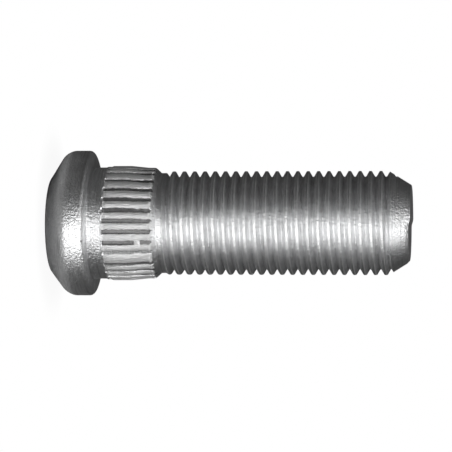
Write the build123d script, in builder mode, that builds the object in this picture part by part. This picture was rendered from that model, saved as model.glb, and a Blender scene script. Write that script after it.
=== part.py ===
from build123d import *
import math
import os

# A press-in wheel bolt, forged and rolled from one bar of steel.
# The origin is the middle of the seat under the head. The thread points along +Z and the head lies below the seat.
# All sizes are in millimetres, and all angles are in degrees from the axis.

# Head
head_diameter = 17.85
head_height = 5.13
head_face_diameter = 11.7
bevel_angle = 55.0
bevel_blend_radius = 1.8
face_edge_bevel = 0.12
rim_edge_radius = 0.5
underhead_bevel = 0.15

# Plain shank, then the serrated shank, which is crowned and tapers towards the thread
shank_diameter = 13.7
plain_length = 1.75
land_step = 0.09
land_length = 0.45
knurl_diameter = 14.07
knurl_rise_length = 0.26
knurl_full_length = 2.24
knurl_taper_length = 2.15
tail_step = 0.225
tail_length = 0.85
tail_bevel_length = 0.7
tail_edge_bevel = 0.16

# Gaps between the teeth of the serration
tooth_count = 30
gap_depth = 0.42
gap_mouth_width = 0.62
gap_floor_width = 0.34
gap_ramp_length = 0.5
gap_overcut = 0.08

# Neck and threaded end. The fine thread, 1/2 inch with 20 turns to the inch, is left off: its stretch is plain
# and has the thread's major diameter.
neck_diameter = 12.34
neck_length = 0.31
thread_diameter = 12.7
thread_rise_length = 0.2
bolt_length = 39.12
end_diameter = 9.24
end_bevel_angle = 32.0
end_edge_bevel = 0.08


def beside(rise, angle):
    """How far a slope at this angle from the axis runs along the axis for a change in radius."""
    return rise / math.tan(math.radians(angle))


# Radii
head_radius = head_diameter / 2
face_radius = head_face_diameter / 2
shank_radius = shank_diameter / 2
land_radius = shank_radius + land_step
knurl_radius = knurl_diameter / 2
tail_radius = knurl_radius - tail_step
neck_radius = neck_diameter / 2
thread_radius = thread_diameter / 2
end_radius = end_diameter / 2

# Heights along the axis
face_z = -head_height
bevel_end_z = face_z + beside(head_radius - face_radius, bevel_angle)
land_start_z = plain_length
land_end_z = land_start_z + land_length
knurl_start_z = land_end_z + knurl_rise_length
knurl_end_z = knurl_start_z + knurl_full_length
tail_start_z = knurl_end_z + knurl_taper_length
tail_end_z = tail_start_z + tail_length
neck_start_z = tail_end_z + tail_bevel_length
neck_end_z = neck_start_z + neck_length
thread_start_z = neck_end_z + thread_rise_length
thread_end_z = bolt_length - beside(thread_radius - end_radius, end_bevel_angle)


def nearest_corner(sketch, radius, height):
    """The corner of the half outline that lies at this radius and height."""
    return sketch.vertices().sort_by_distance((radius, height, 0))[0]


def gap_half_width(radius):
    """Half the width of a tooth gap at this radius. Its floor is narrow and its sides spread up to the mouth."""
    spread = (gap_mouth_width - gap_floor_width) / gap_depth
    return (gap_mouth_width - spread * (knurl_radius - radius)) / 2


# One tooth gap: it ramps down from the land and runs out through the bevel at the serrated shank's end
gap_floor_radius = knurl_radius - gap_depth
gap_top_radius = max(knurl_radius, land_radius) + gap_overcut
gap_stations = (
    (land_end_z, land_radius),
    (land_end_z + gap_ramp_length, gap_floor_radius),
    (neck_start_z, gap_floor_radius),
)

with BuildPart() as tooth_gap:
    for height, floor_radius in gap_stations:
        with BuildSketch(Plane.XY.offset(height)):
            with BuildLine():
                Polyline(
                    (floor_radius, -gap_half_width(floor_radius)),
                    (gap_top_radius, -gap_half_width(gap_top_radius)),
                    (gap_top_radius, gap_half_width(gap_top_radius)),
                    (floor_radius, gap_half_width(floor_radius)),
                    close=True,
                )
            make_face()
    loft(ruled=True)


# The bolt: its outline is turned about the axis, and then the tooth gaps are cut
with BuildPart() as wheel_bolt:
    with BuildSketch(Plane.XZ) as half_outline:
        with BuildLine():
            Polyline(
                (0, face_z),
                (face_radius, face_z),
                (head_radius, bevel_end_z),
                (head_radius, 0),
                (shank_radius, 0),
                (shank_radius, land_start_z),
                (land_radius, land_start_z),
                (land_radius, land_end_z),
                (knurl_radius, knurl_start_z),
                (knurl_radius, knurl_end_z),
                (tail_radius, tail_start_z),
                (tail_radius, tail_end_z),
                (neck_radius, neck_start_z),
                (neck_radius, neck_end_z),
                (thread_radius, thread_start_z),
                (thread_radius, thread_end_z),
                (end_radius, bolt_length),
                (0, bolt_length),
                close=True,
            )
        make_face()
        chamfer(nearest_corner(half_outline, face_radius, face_z), face_edge_bevel)
        fillet(nearest_corner(half_outline, head_radius, bevel_end_z), bevel_blend_radius)
        fillet(nearest_corner(half_outline, head_radius, 0), rim_edge_radius)
        chamfer(nearest_corner(half_outline, shank_radius, 0), underhead_bevel)
        chamfer(nearest_corner(half_outline, tail_radius, tail_end_z), tail_edge_bevel)
        chamfer(nearest_corner(half_outline, end_radius, bolt_length), end_edge_bevel)
    revolve(axis=Axis.Z)
    with PolarLocations(0, tooth_count):
        add(tooth_gap.part, mode=Mode.SUBTRACT)

wheel_bolt.part.label = "wheel_bolt"
os.makedirs("parts", exist_ok=True)
export_step(wheel_bolt.part, "parts/wheel_bolt.step")
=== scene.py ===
import math

import bmesh
import bpy
from bpy.props import FloatProperty, FloatVectorProperty, IntProperty, PointerProperty
from mathutils import Matrix, Vector, noise


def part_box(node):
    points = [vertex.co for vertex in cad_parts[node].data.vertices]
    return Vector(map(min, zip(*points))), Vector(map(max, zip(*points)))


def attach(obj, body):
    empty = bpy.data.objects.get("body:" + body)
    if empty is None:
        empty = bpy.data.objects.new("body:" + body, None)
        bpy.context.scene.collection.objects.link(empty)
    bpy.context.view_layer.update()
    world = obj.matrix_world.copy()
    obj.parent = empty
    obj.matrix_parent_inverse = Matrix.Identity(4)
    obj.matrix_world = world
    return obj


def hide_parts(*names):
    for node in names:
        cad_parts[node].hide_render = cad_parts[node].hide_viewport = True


bl_info = {
    "name": "Wheel Bolt",
    "version": (1, 0, 0),
    "blender": (4, 5, 0),
    "location": "View3D > Sidebar > Wheel Bolt",
    "description": "A press-in wheel bolt with a serrated shank and a fine thread, and a plain stage for it",
    "category": "Add Mesh",
}

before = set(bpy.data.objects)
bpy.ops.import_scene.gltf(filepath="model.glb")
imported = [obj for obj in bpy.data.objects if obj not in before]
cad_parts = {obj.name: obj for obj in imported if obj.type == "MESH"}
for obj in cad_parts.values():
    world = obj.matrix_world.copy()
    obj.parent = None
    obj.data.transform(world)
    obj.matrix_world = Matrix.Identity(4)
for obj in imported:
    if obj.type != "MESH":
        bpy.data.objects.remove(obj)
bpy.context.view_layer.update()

MM = 0.001
PIECE = "bolt"
CAD_NODE = "wheel_bolt"
bolt_low, bolt_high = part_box(CAD_NODE)


# Sizes and colours that a user would change


def length(name, millimetres, description):
    """A length property, which is kept in metres and given here in millimetres."""
    return FloatProperty(
        name=name, description=description, default=millimetres * MM, min=0.0, unit="LENGTH"
    )


def shade(name, values, description):
    """A colour property."""
    return FloatVectorProperty(
        name=name, description=description, default=values, subtype="COLOR", min=0.0, max=1.0
    )


class BoltSizes(bpy.types.PropertyGroup):
    """Lengths of the bolt. Its overall sizes come from the frame."""

    head_diameter: FloatProperty(
        name="Head diameter",
        description="Across the head's rim",
        default=bolt_high.x - bolt_low.x,
        unit="LENGTH",
    )
    head_height: FloatProperty(
        name="Head height",
        description="From the seat to the head's end",
        default=-bolt_low.z,
        unit="LENGTH",
    )
    bolt_length: FloatProperty(
        name="Length",
        description="From the seat to the threaded end",
        default=bolt_high.z,
        unit="LENGTH",
    )
    head_face_diameter: length("Head face diameter", 11.7, "Across the flat end of the head")
    shank_diameter: length("Shank diameter", 13.7, "Across the plain shank under the head")
    plain_length: length("Plain length", 1.75, "Plain shank between the seat and the land")
    knurl_diameter: length("Knurl diameter", 14.07, "Across the tooth crests of the serration")
    gap_depth: length("Gap depth", 0.42, "Depth of the gaps between the teeth")
    neck_diameter: length("Neck diameter", 12.3, "Across the neck between the serration and the thread")
    thread_diameter: length("Thread diameter", 12.7, "Across the thread's crests")
    thread_pitch: length("Thread pitch", 1.27, "Rise of one turn of the thread")
    thread_depth: length("Thread depth", 0.70, "From the thread's crest to its root")
    end_diameter: length("End diameter", 9.24, "Across the threaded end's flat")
    tooth_count: IntProperty(
        name="Teeth", description="Number of teeth round the serration", default=30, min=3
    )


class SteelFinish(bpy.types.PropertyGroup):
    """Colours and gloss of the bare steel."""

    steel_colour: shade("Steel", (0.85, 0.855, 0.86), "Colour of the rolled and forged steel")
    stain_colour: shade("Stain", (0.36, 0.36, 0.365), "Colour of the darker scale and oil film")
    worn_colour: shade("Worn steel", (0.95, 0.95, 0.95), "Colour of rubbed edges and specks")
    # The gaps' dark colour is partly scale and partly painted shade in the recesses.
    gap_scale_and_shade: shade("Gaps", (0.24, 0.24, 0.24), "Colour of the scale in the gaps between the teeth")
    gloss_roughness: FloatProperty(
        name="Roughness",
        description="Roughness of the clean steel",
        default=0.36,
        min=0.0,
        max=1.0,
        subtype="FACTOR",
    )


# The outline, in millimetres and degrees from the axis
BEVEL_ANGLE = 55.0
BEVEL_BLEND_RADIUS = 1.8
FACE_EDGE_RADIUS = 0.25
RIM_EDGE_RADIUS = 0.5
UNDERHEAD_RADIUS = 0.25
LAND_STEP = 0.09
LAND_LENGTH = 0.45
KNURL_RISE_LENGTH = 0.26
KNURL_FULL_LENGTH = 2.24
KNURL_TAPER_LENGTH = 2.15
TAIL_STEP = 0.225
TAIL_LENGTH = 0.85
TAIL_BEVEL_LENGTH = 0.7
TAIL_EDGE_RADIUS = 0.4
NECK_LENGTH = 0.58
END_BEVEL_ANGLE = 32.0
END_EDGE_RADIUS = 0.15

# The uneven ends, in millimetres. The head's face lies off the axis towards +X. The threaded end is lower
# on the +X side, by a soft step that lies between two places on X and fades out over a height.
FACE_OFFSET = 0.22
END_STEP = 0.2
END_STEP_PLACES = (-0.5, 0.45)
END_STEP_HEIGHT = 0.6

# How finely the mesh is divided: columns round the axis, and rows along the outline in millimetres. Vertices
# nearer than the merge distance become one, and edges sharper than the sharp angle, in degrees, look sharp.
COLUMNS_PER_TOOTH = 12
THREAD_COLUMNS = 120
SERRATION_ROW = 0.14
SHANK_ROW = 0.45
HEAD_ROW = 1.1
END_ROW = 0.35
END_UNDIVIDED_LENGTH = 0.5
MERGE_DISTANCE = 0.002
RING_TOLERANCE = 10 * MERGE_DISTANCE
SHARP_ANGLE = 38.0

# The tooth gaps, in degrees round the axis from +X. Gap 0 has its middle at the gap phase, and the column of
# vertices that is moved there comes from the first column's angle. The offsets are those of the columns
# beside a gap's middle: the middle, its floor's edge, its mouth, and three on the ridge.
GAP_PHASE = 4.5
GAP_FIRST_COLUMN = 4.0
GAP_FLOOR_HALF = 1.6
GAP_MOUTH_HALF = 2.5
GAP_COLUMN_OFFSETS = (0.0, GAP_FLOOR_HALF, GAP_MOUTH_HALF, 2.95, 3.95, 4.95)
# Columns nearer to the middle than the ragged limit are ragged, but come no nearer to it than the least half
GAP_RAGGED_LIMIT = 3.5
GAP_RAGGEDNESS = 0.45
GAP_LEAST_HALF = 0.4

# How far the gaps lie off their even places, in degrees: those that face the photograph's camera one by one,
# and the others by up to the last number
FIRST_LEANING_GAP = 17
GAP_LEANS = (-1.6, 0.2, 0.8, 0.7, 0.5, -0.6, -1.5, -1.8, -2.9, 0.6)
GAP_LEAN = 0.9

# Waves of the gaps' sides and floors, per millimetre of height
LONG_WAVES = 2.6
SHORT_WAVES = 9.0
FLOOR_WAVES = 3.0

# Depths of the gaps and ridges, and heights from the nearest corner of the outline, in millimetres
SERRATION_MARGINS = (0.01, 0.02)
GAP_RAMP_START = 0.12
GAP_RAMP_LENGTH = 0.28
FLOOR_UNEVENNESS = 0.06
RIDGE_DROP = 0.10
RIDGE_ROUND_START = 0.2
RIDGE_ROUND_END = (-0.3, 0.05)
RUBBED_START = (0.1, 0.35)
FRAYED_END = 0.1
FRAYED_LENGTH = 0.35

# One gap has a burr across it, at heights in millimetres from the seat, and the next is partly filled. The
# last number is the share of the depth that is lost where a gap is full.
BURRED_GAP = 24
BURR_START = (5.7, 6.1)
BURR_END = (6.3, 6.8)
SHALLOW_GAP = 25
SHALLOW_FILLING = 0.45
FILLING_DEPTH = 0.9

# The thread, in millimetres and degrees. Its turn is fixed by a crest at this height on the +X side.
CREST_HEIGHT = 0.457
CREST_FLAT = 0.30
FLANK_ANGLE = 30.0
CREST_RADIUS = 0.10
ROOT_RADIUS = 0.13
RUN_IN_LENGTH = 0.42
RUN_OUT_MARGIN = 0.2

# Noises of the steel: blotches per metre along X, Y and Z, and how many finer ones are laid over them
MOTTLE = ((420.0, 420.0, 420.0), 4.0)
LINES = ((160.0, 160.0, 5200.0), 3.0)
STREAKS = ((6500.0, 6500.0, 900.0), 3.0)
SPECKS = ((3600.0, 3600.0, 3600.0), 2.0)
GRAIN = ((4300.0, 4300.0, 4300.0), 2.0)
NOISE_ROUGHNESS = 0.6
NOISE_MIDDLE = 0.5

# Limits between which each mask rises from 0 to 1
RIDGE_LIMITS = (0.5, 0.95)
GAP_LIMITS = (0.3, 0.8)
SPECK_LIMITS = (0.60, 0.70)
MOTTLE_LIMITS = (0.42, 0.72)
LINE_LIMITS = (0.48, 0.70)

# Where the thread begins, and the radii between which its crest edges are rubbed, in millimetres
THREAD_HEIGHTS = (9.1, 9.3)
LIP_INNER_RADII = (6.27, 6.30)
LIP_OUTER_RADII = (6.338, 6.347)

# How much of each mask or noise goes into wear, stain, roughness and relief, and how much less metallic worn
# places and ridges are. The relief's depth is in millimetres.
LIP_WEAR = 0.6
SPECK_WEAR = 0.5
MOTTLE_STAIN = 0.25
LINE_STAIN = 0.4
MOTTLE_ROUGHNESS = 0.18
LINE_ROUGHNESS = 0.10
WORN_ROUGHNESS = 0.05
GAP_ROUGHNESS = 0.2
LINE_RELIEF = 0.10
MOTTLE_RELIEF = 0.10
GRAIN_RELIEF = 2.2
STREAK_RELIEF = 3.0
RELIEF_STRENGTH = 0.6
RELIEF_DEPTH = 0.08
WORN_DULLNESS = 0.38
RIDGE_DULLNESS = 0.15

# Marks on the head that the photograph shows, in millimetres: the two ends of each scratch, the middle of the
# nick, and the distances over which they fade
SCRATCHES = (
    ((3.46, -8.145, -2.705), (4.08, -7.94, -1.84)),
    ((-0.66, -6.516, -4.641), (-0.30, -6.861, -4.417)),
    ((-0.30, -6.861, -4.417), (-0.52, -7.048, -4.277)),
)
SCRATCH_LIMITS = (0.036, 0.09)
NICK = (2.21, -8.60, -0.15)
NICK_LIMITS = (0.11, 0.22)

# The photograph's camera: lens, aim and distance in millimetres, tilt in degrees
CAMERA_LENS = 207.1
CAMERA_TILT = 6.53
CAMERA_AIM = (0.367, 0.0, 16.36)
CAMERA_DISTANCE = 319.04
CAMERA_CLIP_START = 10.0

# The floor, with its radius in metres and reaches on it in millimetres from the axis, and the surround
FLOOR_RADIUS = 2.4
FLOOR_SEGMENTS = 96
FLOOR_COLOUR = (0.19, 0.19, 0.19)
# The paler floor near the head is a painted pool of light, which the head's bevel mirrors.
PAINTED_LIGHT_POOL_COLOUR = (0.48, 0.48, 0.48)
PAINTED_LIGHT_POOL_REACH = (12.0, 18.0)
# The contact shade is a painted shadow ring, through which the diffuse floor and its real shadow show.
CONTACT_SHADE = 0.06
CONTACT_REACH = (7.8, 13.0)
WORLD_COLOUR = (0.038, 0.038, 0.038)
ZENITH_COLOUR = (0.18, 0.18, 0.18)
ZENITH_LIMITS = (0.6, 0.98)

# The bright card that only metal and glass see: a fan of floor and low surround before the bolt, in degrees
# from the camera's side. It starts at a reach in millimetres, and ends at a height of the view direction.
FAN_AZIMUTH = 20.5
FAN_HALF_WIDTH = 19.5
FAN_SOFTNESS = 6.0
FAN_REACH = (11.5, 16.0)
FAN_TOP = (0.1, 0.25)
FAN_LIGHT = 2.1
WHITE = (1.0, 1.0, 1.0)

# The lamps: name, azimuth and elevation in degrees, distance, width and height in metres, power in watts.
# They are aimed at a height on the axis, in metres.
LAMPS = (
    ("strip_lamp", 20.5, 15.0, 0.5, 0.32, 0.28, 0.6),
    ("upper_lamp", 20.5, 50.0, 0.5, 0.34, 0.34, 1.0),
)
LAMP_AIM_HEIGHT = 0.016


def smooth_step(value, low, high):
    """0 below low and 1 above high, with a smooth rise between them."""
    share = min(max((value - low) / (high - low), 0.0), 1.0)
    return share * share * (3.0 - 2.0 * share)


def beside(rise, angle):
    """How far a slope at this angle from the axis runs along the axis for a change in radius."""
    return rise / math.tan(math.radians(angle))


def in_metres(limits):
    """Limits that are given in millimetres."""
    return tuple(limit * MM for limit in limits)


class Outline:
    """The bolt's half outline in millimetres, worked out from its properties."""

    def __init__(self, sizes):
        self.head_radius = sizes.head_diameter / 2 / MM
        self.face_z = -sizes.head_height / MM
        self.end_z = sizes.bolt_length / MM
        self.face_radius = sizes.head_face_diameter / 2 / MM
        self.shank_radius = sizes.shank_diameter / 2 / MM
        self.knurl_radius = sizes.knurl_diameter / 2 / MM
        self.neck_radius = sizes.neck_diameter / 2 / MM
        self.thread_radius = sizes.thread_diameter / 2 / MM
        self.end_radius = sizes.end_diameter / 2 / MM
        self.pitch = sizes.thread_pitch / MM
        self.thread_depth = sizes.thread_depth / MM
        self.gap_depth = sizes.gap_depth / MM
        self.tooth_count = sizes.tooth_count
        self.tooth_angle = 360.0 / sizes.tooth_count
        self.land_radius = self.shank_radius + LAND_STEP
        self.tail_radius = self.knurl_radius - TAIL_STEP
        self.bevel_end_z = self.face_z + beside(self.head_radius - self.face_radius, BEVEL_ANGLE)
        self.land_start_z = sizes.plain_length / MM
        self.land_end_z = self.land_start_z + LAND_LENGTH
        self.knurl_start_z = self.land_end_z + KNURL_RISE_LENGTH
        self.knurl_end_z = self.knurl_start_z + KNURL_FULL_LENGTH
        self.tail_start_z = self.knurl_end_z + KNURL_TAPER_LENGTH
        self.tail_end_z = self.tail_start_z + TAIL_LENGTH
        self.neck_start_z = self.tail_end_z + TAIL_BEVEL_LENGTH
        self.thread_start_z = self.neck_start_z + NECK_LENGTH
        self.root_radius = self.thread_radius - self.thread_depth
        root_end_z = self.end_z - beside(self.root_radius - self.end_radius, END_BEVEL_ANGLE)
        self.thread_end_z = root_end_z + RUN_OUT_MARGIN

    def end_cone(self, z):
        """Radius of the end's bevel at this height."""
        return self.end_radius + (self.end_z - z) * math.tan(math.radians(END_BEVEL_ANGLE))


# Helpers for bmesh. A line is drawn in the plane of X and Z, and turned about Z.


def add_line(bm, corners):
    """Joins (radius, height) corners with straight edges and returns their vertices."""
    vertices = [bm.verts.new((radius, 0.0, height)) for radius, height in corners]
    for first, second in zip(vertices, vertices[1:]):
        bm.edges.new((first, second))
    return vertices


def round_corner(bm, vertex, radius, segments):
    """Rounds a corner of a line to this radius."""
    first, second = (edge.other_vert(vertex).co - vertex.co for edge in vertex.link_edges)
    turn = math.pi - first.angle(second)
    bmesh.ops.bevel(
        bm,
        geom=[vertex],
        offset=radius * math.tan(turn / 2),
        offset_type="OFFSET",
        segments=segments,
        profile=0.5,
        affect="VERTICES",
        material=-1,
    )


def divide_line(bm, low, high, step):
    """Divides the line's edges between two heights into steps no longer than this."""
    for edge in bm.edges[:]:
        heights = sorted(vertex.co.z for vertex in edge.verts)
        cuts = math.ceil(edge.calc_length() / step) - 1
        if heights[0] >= low - step / 2 and heights[1] <= high + step / 2 and cuts > 0:
            bmesh.ops.subdivide_edges(bm, edges=[edge], cuts=cuts)


def put_in_order(bm):
    """Sorts the mesh by place, because spin leaves its parts in another order each run."""
    for index, vertex in enumerate(sorted(bm.verts, key=lambda vertex: vertex.co[:])):
        vertex.index = index
    bm.verts.sort()
    for elements in (bm.edges, bm.faces):
        in_order = sorted(elements, key=lambda part: sorted(vertex.index for vertex in part.verts))
        for index, part in enumerate(in_order):
            part.index = index
        elements.sort()


def turn_line(bm, geometry, columns, rise=0.0):
    """Turns a line once about the axis. A rise makes it one turn of a screw, which stays open."""
    bmesh.ops.spin(
        bm,
        geom=geometry,
        cent=(0, 0, 0),
        axis=(0, 0, 1),
        dvec=(0, 0, rise / columns),
        angle=2 * math.pi,
        steps=columns,
        use_merge=rise == 0.0,
    )
    put_in_order(bm)


def merge_into(bm, part, name):
    """Adds another bmesh to this one, and frees it."""
    mesh = bpy.data.meshes.new(name)
    part.to_mesh(mesh)
    part.free()
    bm.from_mesh(mesh)
    bpy.data.meshes.remove(mesh)


def polar(vertex):
    """Radius and angle in degrees from 0 to 360 of a vertex."""
    x, y = vertex.co.x, vertex.co.y
    return math.hypot(x, y), math.degrees(math.atan2(y, x)) % 360.0


def place(vertex, radius, angle, z):
    """Moves a vertex to this radius, angle in degrees and height."""
    turn = math.radians(angle)
    vertex.co = (radius * math.cos(turn), radius * math.sin(turn), z)


def ring_edges(bm, z):
    """The open edges that lie at this height."""
    return [
        edge
        for edge in bm.edges
        if edge.is_boundary and all(abs(vertex.co.z - z) < RING_TOLERANCE for vertex in edge.verts)
    ]


# Head, serrated shank and neck


def lower_line(bm, shape):
    """The line of the head, shank, serrated shank and neck, with its corners rounded."""
    corners = add_line(bm, (
        (0.0, shape.face_z),
        (shape.face_radius, shape.face_z),
        (shape.head_radius, shape.bevel_end_z),
        (shape.head_radius, 0.0),
        (shape.shank_radius, 0.0),
        (shape.shank_radius, shape.land_start_z),
        (shape.land_radius, shape.land_start_z + LAND_STEP),
        (shape.land_radius, shape.land_end_z),
        (shape.knurl_radius, shape.knurl_start_z),
        (shape.knurl_radius, shape.knurl_end_z),
        (shape.tail_radius, shape.tail_start_z),
        (shape.tail_radius, shape.tail_end_z),
        (shape.neck_radius, shape.neck_start_z),
    ))
    face_edge, bevel_end, seat_edge, underhead = corners[1:5]
    tail_edge = corners[11]
    round_corner(bm, tail_edge, TAIL_EDGE_RADIUS, segments=3)
    round_corner(bm, underhead, UNDERHEAD_RADIUS, segments=4)
    round_corner(bm, seat_edge, RIM_EDGE_RADIUS, segments=6)
    round_corner(bm, bevel_end, BEVEL_BLEND_RADIUS, segments=8)
    round_corner(bm, face_edge, FACE_EDGE_RADIUS, segments=4)
    divide_line(bm, shape.land_start_z + LAND_STEP, shape.neck_start_z, SERRATION_ROW)
    divide_line(bm, 0.0, shape.land_start_z, SHANK_ROW)
    divide_line(bm, shape.face_z, 0.0, HEAD_ROW)


def uneven(*place_in_noise):
    """A smooth noise from -1 to 1. The odd numbers in its calls only keep the gaps and their sides unlike."""
    return noise.noise(Vector(place_in_noise))


def gap_column(shape, angle):
    """The gap that a column belongs to, the side of it, and the column's offset from the gap's middle."""
    columns = shape.tooth_count * COLUMNS_PER_TOOTH
    column = round((angle - GAP_FIRST_COLUMN) * columns / 360.0) % columns
    gap, steps = divmod(column, COLUMNS_PER_TOOTH)
    side = 1.0
    if steps > COLUMNS_PER_TOOTH // 2:
        steps = COLUMNS_PER_TOOTH - steps
        gap += 1
        side = -1.0
    offset = shape.tooth_angle / 2
    if steps < len(GAP_COLUMN_OFFSETS):
        offset = GAP_COLUMN_OFFSETS[steps]
    return gap % shape.tooth_count, side, offset


def ragged_offset(gap, side, z, offset):
    """The offset of a gap's side at this height, with long and short waves in it."""
    ragged = uneven(gap * 7.3 + side, z * LONG_WAVES, 1.7) * GAP_RAGGEDNESS
    ragged += uneven(gap * 3.1 - side, z * SHORT_WAVES, 5.2) * GAP_RAGGEDNESS * 0.5
    return max(offset + ragged, GAP_LEAST_HALF)


def gap_lean(gap):
    """How far a gap lies off its even place: as photographed on the near side, and at random elsewhere."""
    if 0 <= gap - FIRST_LEANING_GAP < len(GAP_LEANS):
        return GAP_LEANS[gap - FIRST_LEANING_GAP]
    return uneven(gap * 5.7, 0.5, 9.1) * GAP_LEAN


def gap_filling(gap, z):
    """How full a gap is at this height, from 0 to 1."""
    if gap == BURRED_GAP:
        return smooth_step(z, *BURR_START) * (1.0 - smooth_step(z, *BURR_END))
    return SHALLOW_FILLING if gap == SHALLOW_GAP else 0.0


def gap_floor(shape, gap, side, z):
    """Radius of a gap's floor: it ramps down from the land and then stays level, but for some unevenness."""
    deepest = shape.knurl_radius - shape.gap_depth
    ramp_z = shape.land_start_z + GAP_RAMP_START
    ramp = smooth_step(z, ramp_z, ramp_z + GAP_RAMP_LENGTH)
    level = shape.land_radius + (deepest - shape.land_radius) * ramp
    return level + uneven(gap * 2.2, z * FLOOR_WAVES, side) * FLOOR_UNEVENNESS


def ridge_drop(shape, offset, z):
    """How far a ridge is rounded down at this offset from a gap's middle. It fades out at the ends."""
    half_tooth = shape.tooth_angle / 2
    crown = ((half_tooth - offset) / (half_tooth - GAP_MOUTH_HALF)) ** 2
    rounding = smooth_step(z, shape.land_end_z - RIDGE_ROUND_START, shape.knurl_start_z)
    rounding *= 1.0 - smooth_step(z, *(shape.tail_end_z + height for height in RIDGE_ROUND_END))
    return RIDGE_DROP * crown * rounding


def rubbed_share(shape, gap, side, offset, z):
    """1 along the serration and 0 past its ends. The end towards the thread is frayed."""
    share = smooth_step(z, *(shape.land_start_z + height for height in RUBBED_START))
    frayed_z = shape.tail_end_z + FRAYED_END + uneven(gap * 4.3, side * 2.0, offset) * FRAYED_LENGTH
    return share * (1.0 - smooth_step(z, frayed_z, frayed_z + FRAYED_LENGTH))


def cut_gaps(bm, shape):
    """Moves the serration's columns to the edges of its tooth gaps, sinks the floors, and marks the ridges
    and the gap floors, whose dark colour is scale and painted shade.
    """
    ridge_layer = bm.verts.layers.float.new("ridge")
    gap_scale_and_shade_layer = bm.verts.layers.float.new("gap")
    low_z = shape.land_start_z + LAND_STEP - SERRATION_MARGINS[0]
    high_z = shape.neck_start_z - SERRATION_MARGINS[1]
    for vertex in bm.verts:
        z = vertex.co.z
        if not low_z < z < high_z:
            continue
        radius, angle = polar(vertex)
        gap, side, offset = gap_column(shape, angle)
        on_floor = offset <= GAP_FLOOR_HALF
        if 0.0 < offset < GAP_RAGGED_LIMIT:
            offset = ragged_offset(gap, side, z, offset)
        filled = gap_filling(gap, z)
        if on_floor:
            floor = gap_floor(shape, gap, side, z)
            floor += (radius - floor) * filled * FILLING_DEPTH
            radius = min(radius, floor)
        else:
            radius -= ridge_drop(shape, offset, z)
        gap_angle = GAP_PHASE + gap * shape.tooth_angle + gap_lean(gap)
        place(vertex, radius, gap_angle + side * offset, z)
        rubbed = rubbed_share(shape, gap, side, offset, z)
        vertex[ridge_layer] = rubbed * (filled if on_floor else 1.0)
        vertex[gap_scale_and_shade_layer] = rubbed * (1.0 - filled) if on_floor else 0.0


def shift_head_face(bm, shape):
    """Sets the head's flat end a little off the axis, as it was forged."""
    for vertex in bm.verts:
        z = vertex.co.z
        if z < shape.bevel_end_z:
            vertex.co.x += FACE_OFFSET * (1.0 - smooth_step(z, shape.face_z, shape.bevel_end_z))


# Thread and threaded end


def thread_line(bm, shape):
    """One pitch of the thread, with rounded crests and rolled roots. Returns the height where it starts."""
    turns_below = math.floor((shape.thread_start_z - CREST_HEIGHT) / shape.pitch)
    start = CREST_HEIGHT + shape.pitch * turns_below - shape.pitch
    top_z = start + shape.pitch
    crest_half = CREST_FLAT / 2
    slope = shape.thread_depth * math.tan(math.radians(FLANK_ANGLE))
    corners = add_line(bm, (
        (shape.thread_radius, start),
        (shape.thread_radius, start + crest_half),
        (shape.root_radius, start + crest_half + slope),
        (shape.root_radius, top_z - crest_half - slope),
        (shape.thread_radius, top_z - crest_half),
        (shape.thread_radius, top_z),
    ))
    for root in (corners[2], corners[3]):
        round_corner(bm, root, ROOT_RADIUS, segments=3)
    for crest in (corners[1], corners[4]):
        round_corner(bm, crest, CREST_RADIUS, segments=3)
    flanks = [edge for edge in bm.edges if edge.calc_length() > shape.thread_depth / 2]
    bmesh.ops.subdivide_edges(bm, edges=flanks, cuts=1)
    return start


def add_thread(bm, shape):
    """Screws the thread's line up the bolt and fits it between the neck and the end's bevel."""
    thread = bmesh.new()
    start = thread_line(thread, shape)
    turns = math.ceil((shape.thread_end_z - start) / shape.pitch) + 1
    turn_line(thread, thread.verts[:] + thread.edges[:], THREAD_COLUMNS, shape.pitch)
    first_turn = thread.verts[:] + thread.edges[:] + thread.faces[:]
    for turn in range(1, turns):
        copied = bmesh.ops.duplicate(thread, geom=first_turn)["geom"]
        vertices = [part for part in copied if isinstance(part, bmesh.types.BMVert)]
        bmesh.ops.translate(thread, vec=(0.0, 0.0, turn * shape.pitch), verts=vertices)
    bmesh.ops.remove_doubles(thread, verts=thread.verts[:], dist=MERGE_DISTANCE)
    for vertex in thread.verts:
        radius, angle = polar(vertex)
        angle = round(angle * THREAD_COLUMNS / 360.0) * 360.0 / THREAD_COLUMNS
        z = min(max(vertex.co.z, shape.thread_start_z), shape.thread_end_z)
        run_in = smooth_step(z, shape.thread_start_z, shape.thread_start_z + RUN_IN_LENGTH)
        radius = shape.neck_radius + (radius - shape.neck_radius) * run_in
        if z >= shape.thread_end_z:
            radius = shape.end_cone(z)
        place(vertex, min(radius, shape.end_cone(z)), angle, z)
    bmesh.ops.remove_doubles(thread, verts=thread.verts[:], dist=MERGE_DISTANCE)
    merge_into(bm, thread, "thread")


def add_end(bm, shape):
    """The end of the bolt above the thread: the rest of its bevel, its rounded edge and its stepped flat."""
    end = bmesh.new()
    corners = add_line(end, (
        (shape.end_cone(shape.thread_end_z), shape.thread_end_z),
        (shape.end_radius, shape.end_z),
        (0.0, shape.end_z),
    ))
    round_corner(end, corners[1], END_EDGE_RADIUS, segments=4)
    for edge in end.edges[:]:
        if edge.calc_length() > END_UNDIVIDED_LENGTH:
            bmesh.ops.subdivide_edges(end, edges=[edge], cuts=math.ceil(edge.calc_length() / END_ROW))
    turn_line(end, end.verts[:] + end.edges[:], THREAD_COLUMNS)
    step_z = shape.end_z - END_STEP_HEIGHT
    for vertex in end.verts:
        if vertex.co.z > step_z:
            share = smooth_step(vertex.co.z, step_z, shape.end_z)
            vertex.co.z -= END_STEP * share * smooth_step(vertex.co.x, *END_STEP_PLACES)
    merge_into(bm, end, "end")


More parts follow.
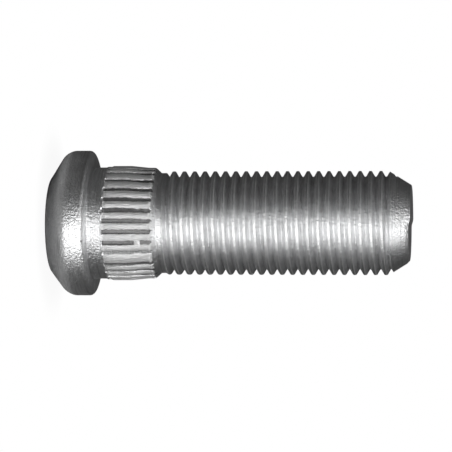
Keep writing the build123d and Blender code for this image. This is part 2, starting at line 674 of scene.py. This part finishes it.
def finish_piece(bm, material):
    """Closes the mesh, turns its faces outwards and gives the piece its place, slot and body."""
    bmesh.ops.remove_doubles(bm, verts=bm.verts[:], dist=MERGE_DISTANCE)
    bmesh.ops.recalc_face_normals(bm, faces=bm.faces[:])
    for face in bm.faces:
        face.smooth = True
    for edge in bm.edges:
        edge.smooth = edge.calc_face_angle(0.0) < math.radians(SHARP_ANGLE)
    bmesh.ops.scale(bm, vec=(MM, MM, MM), verts=bm.verts[:])
    mesh = bpy.data.meshes.new(PIECE)
    bm.to_mesh(mesh)
    bm.free()
    mesh.materials.append(material)
    piece = bpy.data.objects.new(PIECE, mesh)
    bpy.context.scene.collection.objects.link(piece)
    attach(piece, "root")
    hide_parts(CAD_NODE)


# Shader maths. A Mix node for colours has these sockets, whose names its other kinds use as well.

MIX_SHARE = 0
MIX_FIRST = 6
MIX_SECOND = 7
MIX_RESULT = 2


class Socket:
    """A node's output, so that shader maths is written as an expression."""

    def __init__(self, nodes, socket):
        self.nodes = nodes
        self.socket = socket

    def __add__(self, other):
        return self.nodes.maths("ADD", self, other)

    __radd__ = __add__

    def __sub__(self, other):
        return self.nodes.maths("SUBTRACT", self, other)

    def __rsub__(self, other):
        return self.nodes.maths("SUBTRACT", other, self)

    def __mul__(self, other):
        return self.nodes.maths("MULTIPLY", self, other)

    __rmul__ = __mul__

    def __truediv__(self, other):
        return self.nodes.maths("DIVIDE", self, other)

    def output(self, name):
        """Another output of the same node."""
        return Socket(self.nodes, self.socket.node.outputs[name])

    def above(self, low, high):
        """0 below low and 1 above high, with a smooth rise between them."""
        return self.nodes.add(
            "ShaderNodeMapRange",
            {"interpolation_type": "SMOOTHSTEP"},
            {"Value": self, "From Min": low, "From Max": high},
        )


class Nodes:
    """Makes the nodes of one material or world."""

    def __init__(self, tree):
        self.tree = tree
        tree.nodes.clear()

    def add(self, kind, settings=None, values=None, output=0):
        """Makes one node: its settings first, then the values or links of its sockets."""
        node = self.tree.nodes.new(kind)
        for name, setting in (settings or {}).items():
            setattr(node, name, setting)
        for name, value in (values or {}).items():
            if isinstance(value, Socket):
                self.tree.links.new(value.socket, node.inputs[name])
            else:
                node.inputs[name].default_value = value
        return Socket(self, node.outputs[output]) if len(node.outputs) else None

    def maths(self, operation, *values):
        """One Math node on these values."""
        return self.add("ShaderNodeMath", {"operation": operation}, dict(enumerate(values)))

    def vector(self, operation, *values, output=0):
        """One Vector Math node on these values."""
        return self.add(
            "ShaderNodeVectorMath", {"operation": operation}, dict(enumerate(values)), output
        )

    def mix_colour(self, share, first, second):
        """The first colour, turning into the second as share goes from 0 to 1."""
        return self.add(
            "ShaderNodeMix",
            {"data_type": "RGBA"},
            {MIX_SHARE: share, MIX_FIRST: first, MIX_SECOND: second},
            output=MIX_RESULT,
        )

    def mix_shader(self, share, first, second):
        """The first shader, turning into the second as share goes from 0 to 1."""
        return self.add("ShaderNodeMixShader", None, dict(enumerate((share, first, second))))

    def noise(self, position, stretch, detail):
        """A noise from about 0 to 1, with stretch blotches per metre along each axis."""
        stretched = self.vector("MULTIPLY", position, stretch)
        return self.add(
            "ShaderNodeTexNoise",
            None,
            {"Vector": stretched, "Scale": 1.0, "Detail": detail, "Roughness": NOISE_ROUGHNESS},
        )

    def attribute(self, name):
        """A value that the piece's vertices carry."""
        return self.add("ShaderNodeAttribute", {"attribute_name": name}, output="Fac")

    def object_position(self):
        """The place on the piece, in metres."""
        return self.add("ShaderNodeTexCoord", output="Object")

    def split(self, vector):
        """The X, Y and Z parts of a vector."""
        parts = self.add("ShaderNodeSeparateXYZ", None, {"Vector": vector})
        return parts, parts.output("Y"), parts.output("Z")

    def distance_from_axis(self, across, along):
        """Distance from the axis, from the X and Y parts of a place."""
        return self.maths("SQRT", across * across + along * along)


def colour(values):
    """A colour with full alpha."""
    return (*values, 1.0)


def scratch_mask(nodes, position, start, end):
    """1 on a thin straight scratch between two points on the surface."""
    start, end = Vector(start) * MM, Vector(end) * MM
    along = end - start
    away = nodes.vector("SUBTRACT", position, start)
    reach = nodes.vector("DOT_PRODUCT", away, along, output="Value") / along.length_squared
    share = nodes.maths("MINIMUM", nodes.maths("MAXIMUM", reach, 0.0), 1.0)
    scale = {"operation": "SCALE"}
    nearest = nodes.add("ShaderNodeVectorMath", scale, {"Vector": along, "Scale": share})
    distance = nodes.vector("DISTANCE", away, nearest, output="Value")
    return 1.0 - distance.above(*in_metres(SCRATCH_LIMITS))


def nick_mask(nodes, position):
    """1 on the small nick beside the seat."""
    distance = nodes.vector("DISTANCE", position, Vector(NICK) * MM, output="Value")
    return 1.0 - distance.above(*in_metres(NICK_LIMITS))


def lip_mask(nodes, position):
    """1 on the rubbed edges of the thread's crests."""
    across, along, up = nodes.split(position)
    radius = nodes.distance_from_axis(across, along)
    lip = radius.above(*in_metres(LIP_INNER_RADII)) * (1.0 - radius.above(*in_metres(LIP_OUTER_RADII)))
    return lip * up.above(*in_metres(THREAD_HEIGHTS))


def steel_material(finish):
    """Bare rolled steel: circumferential lines, mottled scale, grain, specks, rubbed edges and scratches,
    with scale and painted shade in the tooth gaps.
    """
    material = bpy.data.materials.new("rolled_steel")
    material.use_nodes = True
    nodes = Nodes(material.node_tree)
    position = nodes.object_position()
    mottle = nodes.noise(position, *MOTTLE)
    lines = nodes.noise(position, *LINES)
    streaks = nodes.noise(position, *STREAKS)
    specks = nodes.noise(position, *SPECKS).above(*SPECK_LIMITS)
    grain = nodes.noise(position, *GRAIN)
    ridge = nodes.attribute("ridge").above(*RIDGE_LIMITS)
    gap = nodes.attribute("gap").above(*GAP_LIMITS)
    marks = sum(scratch_mask(nodes, position, start, end) for start, end in SCRATCHES)
    worn = ridge + lip_mask(nodes, position) * LIP_WEAR + marks + specks * SPECK_WEAR
    worn = nodes.maths("MINIMUM", worn, 1.0)
    stain = mottle.above(*MOTTLE_LIMITS) * MOTTLE_STAIN + lines.above(*LINE_LIMITS) * LINE_STAIN
    # The tooth gaps are darkened by scale and painted shade, and the nick is darkened too.
    dark = nodes.maths("MAXIMUM", gap, nick_mask(nodes, position))
    base = nodes.mix_colour(stain, colour(finish.steel_colour), colour(finish.stain_colour))
    base = nodes.mix_colour(worn, base, colour(finish.worn_colour))
    base = nodes.mix_colour(dark, base, colour(finish.gap_scale_and_shade))
    roughness = finish.gloss_roughness + (mottle - NOISE_MIDDLE) * MOTTLE_ROUGHNESS
    roughness = roughness + (lines - NOISE_MIDDLE) * LINE_ROUGHNESS
    roughness = roughness + worn * WORN_ROUGHNESS + gap * GAP_ROUGHNESS
    rolled = lines * LINE_RELIEF + mottle * MOTTLE_RELIEF + grain * GRAIN_RELIEF
    relief = rolled * (1.0 - ridge) + streaks * ridge * STREAK_RELIEF
    bump = nodes.add(
        "ShaderNodeBump",
        None,
        {"Strength": RELIEF_STRENGTH, "Distance": RELIEF_DEPTH * MM, "Height": relief},
    )
    shader = nodes.add("ShaderNodeBsdfPrincipled", None, {
        "Base Color": base,
        "Roughness": roughness,
        "Metallic": 1.0 - worn * WORN_DULLNESS - ridge * RIDGE_DULLNESS,
        "Normal": bump,
    })
    nodes.add("ShaderNodeOutputMaterial", None, {"Surface": shader})
    return material


# Stage


def add_camera():
    """The photograph's camera: it looks slightly down on the standing bolt and lies on its side."""
    tilt = math.radians(CAMERA_TILT)
    ahead = Vector((0.0, math.cos(tilt), -math.sin(tilt)))
    up = Vector((-1.0, 0.0, 0.0))
    aside = ahead.cross(up)
    camera_data = bpy.data.cameras.new("photo_camera")
    camera_data.lens = CAMERA_LENS
    camera_data.clip_start = CAMERA_CLIP_START * MM
    camera = bpy.data.objects.new("photo_camera", camera_data)
    turn = Matrix((aside, up, -ahead)).transposed().to_4x4()
    where = Vector(CAMERA_AIM) * MM - ahead * CAMERA_DISTANCE * MM
    camera.matrix_world = Matrix.Translation(where) @ turn
    bpy.context.scene.collection.objects.link(camera)
    bpy.context.scene.camera = camera


def add_lamp(name, azimuth, elevation, distance, width, height, power):
    """A soft lamp, aimed at the bolt's middle. Azimuth 0 stands at the camera and 90 on the +X side."""
    lamp_data = bpy.data.lights.new(name, "AREA")
    lamp_data.shape = "RECTANGLE"
    lamp_data.size = width
    lamp_data.size_y = height
    lamp_data.energy = power
    lamp = bpy.data.objects.new(name, lamp_data)
    turn, rise = math.radians(azimuth), math.radians(elevation)
    away = Vector((
        math.sin(turn) * math.cos(rise),
        -math.cos(turn) * math.cos(rise),
        math.sin(rise),
    ))
    lamp.location = Vector((0.0, 0.0, LAMP_AIM_HEIGHT)) + away * distance
    lamp.rotation_euler = (-away).to_track_quat("-Z", "Y").to_euler()
    lamp.visible_camera = False
    bpy.context.scene.collection.objects.link(lamp)


def seen_white(nodes, kind, plain, seen, mirrored):
    """A plain surface or surround, turned white: by seen for camera rays, and by mirrored for glossy ones."""
    light_path = nodes.add("ShaderNodeLightPath")
    mirror_rays = light_path.output("Is Glossy Ray") + light_path.output("Is Transmission Ray")
    white = nodes.add(kind, None, {"Color": colour(WHITE), "Strength": 1.0})
    card = nodes.add(kind, None, {"Color": colour(WHITE), "Strength": FAN_LIGHT})
    backed = nodes.mix_shader(light_path.output("Is Camera Ray") * seen, plain, white)
    return nodes.mix_shader(mirror_rays * mirrored, backed, card)


def fan_mask(nodes, across, along):
    """1 in the fan before the bolt, with soft edges, from the X and Y parts of a place or direction."""
    azimuth = nodes.maths("ARCTAN2", across, -1.0 * along)
    off_centre = nodes.maths("ABSOLUTE", azimuth - math.radians(FAN_AZIMUTH))
    inner = math.radians(FAN_HALF_WIDTH - FAN_SOFTNESS)
    outer = math.radians(FAN_HALF_WIDTH + FAN_SOFTNESS)
    return 1.0 - off_centre.above(inner, outer)


def floor_material():
    """A floor that is white to the camera but for a painted contact shadow, and to metal in the fan. Near the
    head it is paler, a painted pool of light that the head mirrors.
    """
    material = bpy.data.materials.new("pale_floor")
    material.use_nodes = True
    nodes = Nodes(material.node_tree)
    across, along, _ = nodes.split(nodes.object_position())
    away = nodes.distance_from_axis(across, along)
    # Painted shadow: the white thins in a ring round the head, where the diffuse floor and its real shadow
    # show.
    clear = 1.0 - CONTACT_SHADE * (1.0 - away.above(*in_metres(CONTACT_REACH)))
    # Painted light: the floor is paler within a reach of the head, so that the head's bevel mirrors it.
    past_light_pool = away.above(*in_metres(PAINTED_LIGHT_POOL_REACH))
    ground_with_light_pool = nodes.mix_colour(past_light_pool, colour(PAINTED_LIGHT_POOL_COLOUR), colour(FLOOR_COLOUR))
    diffuse = nodes.add("ShaderNodeBsdfDiffuse", None, {"Color": ground_with_light_pool})
    fan = fan_mask(nodes, across, along) * away.above(*in_metres(FAN_REACH))
    mixed = seen_white(nodes, "ShaderNodeEmission", diffuse, clear, fan)
    nodes.add("ShaderNodeOutputMaterial", None, {"Surface": mixed})
    return material


def add_floor(height):
    """A round floor under the head."""
    bm = bmesh.new()
    bmesh.ops.create_circle(bm, cap_ends=True, radius=FLOOR_RADIUS, segments=FLOOR_SEGMENTS)
    bmesh.ops.translate(bm, vec=(0.0, 0.0, height), verts=bm.verts[:])
    mesh = bpy.data.meshes.new("floor")
    bm.to_mesh(mesh)
    bm.free()
    mesh.materials.append(floor_material())
    floor = bpy.data.objects.new("floor", mesh)
    bpy.context.scene.collection.objects.link(floor)


def set_world():
    """A dim grey surround, paler overhead, which the camera sees as white past the floor's edge."""
    world = bpy.data.worlds.new("studio")
    world.use_nodes = True
    bpy.context.scene.world = world
    nodes = Nodes(world.node_tree)
    direction = nodes.add("ShaderNodeTexCoord", output="Generated")
    across, along, up = nodes.split(direction)
    grey = nodes.mix_colour(up.above(*ZENITH_LIMITS), colour(WORLD_COLOUR), colour(ZENITH_COLOUR))
    surround = nodes.add("ShaderNodeBackground", None, {"Color": grey, "Strength": 1.0})
    fan = fan_mask(nodes, across, along) * (1.0 - up.above(*FAN_TOP))
    mixed = seen_white(nodes, "ShaderNodeBackground", surround, 1.0, fan)
    nodes.add("ShaderNodeOutputWorld", None, {"Surface": mixed})
    bpy.context.scene.view_settings.view_transform = "Standard"


# Operators and panel


class MakeBolt(bpy.types.Operator):
    """Builds the wheel bolt: head, serrated shank, thread and end, in one closed mesh"""

    bl_idname = "wheel_bolt.make_bolt"
    bl_label = "Wheel bolt"

    def execute(self, context):
        shape = Outline(context.scene.bolt_sizes)
        bm = bmesh.new()
        lower_line(bm, shape)
        turn_line(bm, bm.verts[:] + bm.edges[:], shape.tooth_count * COLUMNS_PER_TOOTH)
        bmesh.ops.remove_doubles(bm, verts=bm.verts[:], dist=MERGE_DISTANCE)
        cut_gaps(bm, shape)
        shift_head_face(bm, shape)
        add_thread(bm, shape)
        add_end(bm, shape)
        bmesh.ops.remove_doubles(bm, verts=bm.verts[:], dist=MERGE_DISTANCE)
        rings = ring_edges(bm, shape.neck_start_z) + ring_edges(bm, shape.thread_start_z)
        bmesh.ops.bridge_loops(bm, edges=rings)
        finish_piece(bm, steel_material(context.scene.steel_finish))
        return {"FINISHED"}


class MakeStage(bpy.types.Operator):
    """Sets the floor, the surround, the lamps and the photograph's camera"""

    bl_idname = "wheel_bolt.make_stage"
    bl_label = "Stage"

    def execute(self, context):
        set_world()
        add_floor(bolt_low.z)
        for lamp in LAMPS:
            add_lamp(*lamp)
        add_camera()
        return {"FINISHED"}


class BoltPanel(bpy.types.Panel):
    """Lists the bolt's sizes, its finish and the steps that make it"""

    bl_idname = "VIEW3D_PT_wheel_bolt"
    bl_label = "Wheel Bolt"
    bl_space_type = "VIEW_3D"
    bl_region_type = "UI"
    bl_category = "Wheel Bolt"

    def draw(self, context):
        for group in (context.scene.bolt_sizes, context.scene.steel_finish):
            box = self.layout.box()
            for name in group.__annotations__:
                box.prop(group, name)
        for operator in (MakeBolt, MakeStage):
            self.layout.operator(operator.bl_idname)


CLASSES = (BoltSizes, SteelFinish, MakeBolt, MakeStage, BoltPanel)


def register():
    for cls in CLASSES:
        bpy.utils.register_class(cls)
    bpy.types.Scene.bolt_sizes = PointerProperty(type=BoltSizes)
    bpy.types.Scene.steel_finish = PointerProperty(type=SteelFinish)


def unregister():
    del bpy.types.Scene.steel_finish
    del bpy.types.Scene.bolt_sizes
    for cls in reversed(CLASSES):
        bpy.utils.unregister_class(cls)


def main():
    register()
    bpy.ops.wheel_bolt.make_bolt()
    bpy.ops.wheel_bolt.make_stage()


if __name__ == "__main__":
    main()
